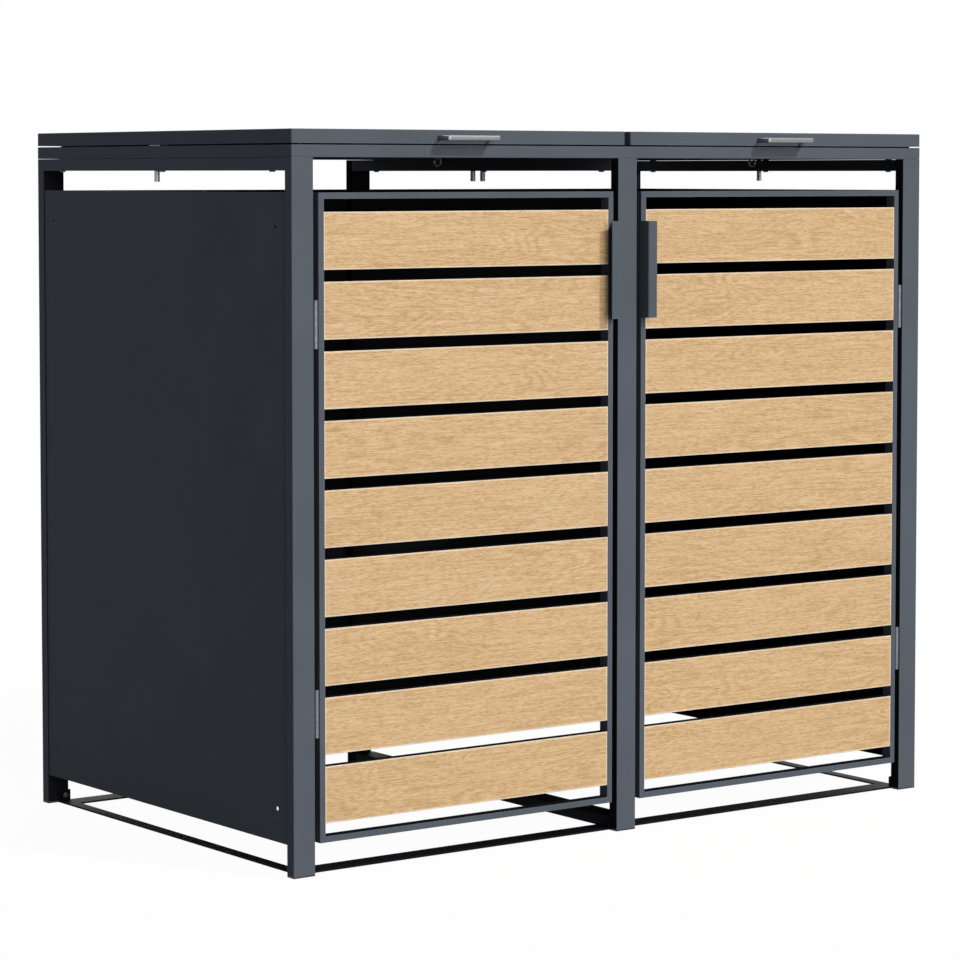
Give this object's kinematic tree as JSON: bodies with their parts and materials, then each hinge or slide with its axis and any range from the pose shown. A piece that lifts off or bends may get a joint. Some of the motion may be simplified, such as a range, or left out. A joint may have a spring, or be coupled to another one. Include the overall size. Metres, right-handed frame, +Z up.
{
  "type": "wheelie bin store",
  "caption": "Free-standing steel garden store for wheelie bins with slatted wood-look doors, sheet walls and hinged lids on gas struts.",
  "frame": {"origin": "on the floor, midway between the left and right sides, and midway between the front of the lid pulls and the back of the lid hinges", "axes": "+X right along the front, +Y from the front to the back, +Z up"},
  "size_m": [1.32, 0.8384, 1.162],
  "materials": {
    "frame_coat": "matt anthracite powder coat",
    "sheet_coat": "matt anthracite powder coat on sheet",
    "oak_decor": "satin printed oak decor on folded sheet",
    "black_coat": "matt black powder coat",
    "zinc_steel": "dull zinc plated",
    "black_steel": "black oxide",
    "satin_steel": "satin",
    "bright_steel": "ground and plated",
    "strut_black": "gloss black",
    "black_plastic": "moulded",
    "rubber": "matt"
  },
  "bodies": {
    "frame": {"back_panel_left": "sheet_coat", "back_panel_right": "sheet_coat", "door_hinge_posts_side": "zinc_steel", "floor_frame": "black_coat", "frame_bolts": "black_steel", "lid_buffers": "rubber", "lid_hinge_frame_side": "zinc_steel", "lower_rail_centre": "frame_coat", "lower_rail_left": "frame_coat", "lower_rail_right": "frame_coat", "magnetic_catches": "black_plastic", "pan_head_screws": "black_steel", "panel_brackets": "frame_coat", "post_back_left": "frame_coat", "post_back_middle": "frame_coat", "post_back_right": "frame_coat", "post_feet": "black_plastic", "post_front_left": "frame_coat", "post_front_middle": "frame_coat", "post_front_right": "frame_coat", "side_panel_left": "sheet_coat", "side_panel_right": "sheet_coat", "strut_anchors": "zinc_steel", "upper_frame": "frame_coat"},
    "door_left": {"door_frame_left": "frame_coat", "door_hinge_leaves_left": "zinc_steel", "door_pull_left": "frame_coat", "slat_left_1": "oak_decor", "slat_left_2": "oak_decor", "slat_left_3": "oak_decor", "slat_left_4": "oak_decor", "slat_left_5": "oak_decor", "slat_left_6": "oak_decor", "slat_left_7": "oak_decor", "slat_left_8": "oak_decor", "slat_left_9": "oak_decor"},
    "lid_left": {"lid_eye_left": "black_steel", "lid_hinge_leaves_left": "zinc_steel", "lid_left": "sheet_coat", "lid_pull_left": "satin_steel"},
    "strut_cylinders_left": {"strut_cylinders_left": "strut_black"},
    "strut_rods_left": {"strut_rods_left": "bright_steel"},
    "door_right": {"door_frame_right": "frame_coat", "door_hinge_leaves_right": "zinc_steel", "door_pull_right": "frame_coat", "slat_right_1": "oak_decor", "slat_right_2": "oak_decor", "slat_right_3": "oak_decor", "slat_right_4": "oak_decor", "slat_right_5": "oak_decor", "slat_right_6": "oak_decor", "slat_right_7": "oak_decor", "slat_right_8": "oak_decor", "slat_right_9": "oak_decor"},
    "lid_right": {"lid_eye_right": "black_steel", "lid_hinge_leaves_right": "zinc_steel", "lid_pull_right": "satin_steel", "lid_right": "sheet_coat"},
    "strut_cylinders_right": {"strut_cylinders_right": "strut_black"},
    "strut_rods_right": {"strut_rods_right": "bright_steel"}
  },
  "joints": [
    {"name": "door_left", "type": "hinge", "parent": "frame", "child": "door_left", "pos_m": [-0.61525, -0.3862, 0.557], "axis": [0, 0, -1], "range_deg": [0, 105]},
    {"name": "lid_left", "type": "hinge", "parent": "frame", "child": "lid_left", "pos_m": [-0.333, 0.4152, 1.139], "axis": [-1, 0, 0], "range_deg": [0, 75]},
    {"name": "strut_pivot_left", "type": "hinge", "parent": "frame", "child": "strut_cylinders_left", "pos_m": [-0.333, 0.0288, 1.1495], "axis": [1, 0, 0], "range_deg": [0, 14.3]},
    {"name": "strut_slide_left", "type": "slide", "parent": "strut_cylinders_left", "child": "strut_rods_left", "axis": [0, 1, 0], "range_m": [0, 0.1], "stiffness_N_per_m": 200, "springref_m": 1.25},
    {"name": "door_right", "type": "hinge", "parent": "frame", "child": "door_right", "pos_m": [0.61525, -0.3862, 0.557], "axis": [0, 0, 1], "range_deg": [0, 105]},
    {"name": "lid_right", "type": "hinge", "parent": "frame", "child": "lid_right", "pos_m": [0.333, 0.4152, 1.139], "axis": [-1, 0, 0], "range_deg": [0, 75]},
    {"name": "strut_pivot_right", "type": "hinge", "parent": "frame", "child": "strut_cylinders_right", "pos_m": [0.333, 0.0288, 1.1495], "axis": [1, 0, 0], "range_deg": [0, 14.3]},
    {"name": "strut_slide_right", "type": "slide", "parent": "strut_cylinders_right", "child": "strut_rods_right", "axis": [0, 1, 0], "range_m": [0, 0.1], "stiffness_N_per_m": 200, "springref_m": 1.25}
  ],
  "couplings": [
    {"joint": "strut_pivot_left", "follows": "lid_left", "ratio": 0.18847},
    {"joint": "strut_slide_left", "follows": "lid_left", "m_per_rad": 0.075676},
    {"joint": "strut_pivot_right", "follows": "lid_right", "ratio": 0.18847},
    {"joint": "strut_slide_right", "follows": "lid_right", "m_per_rad": 0.075676}
  ]
}
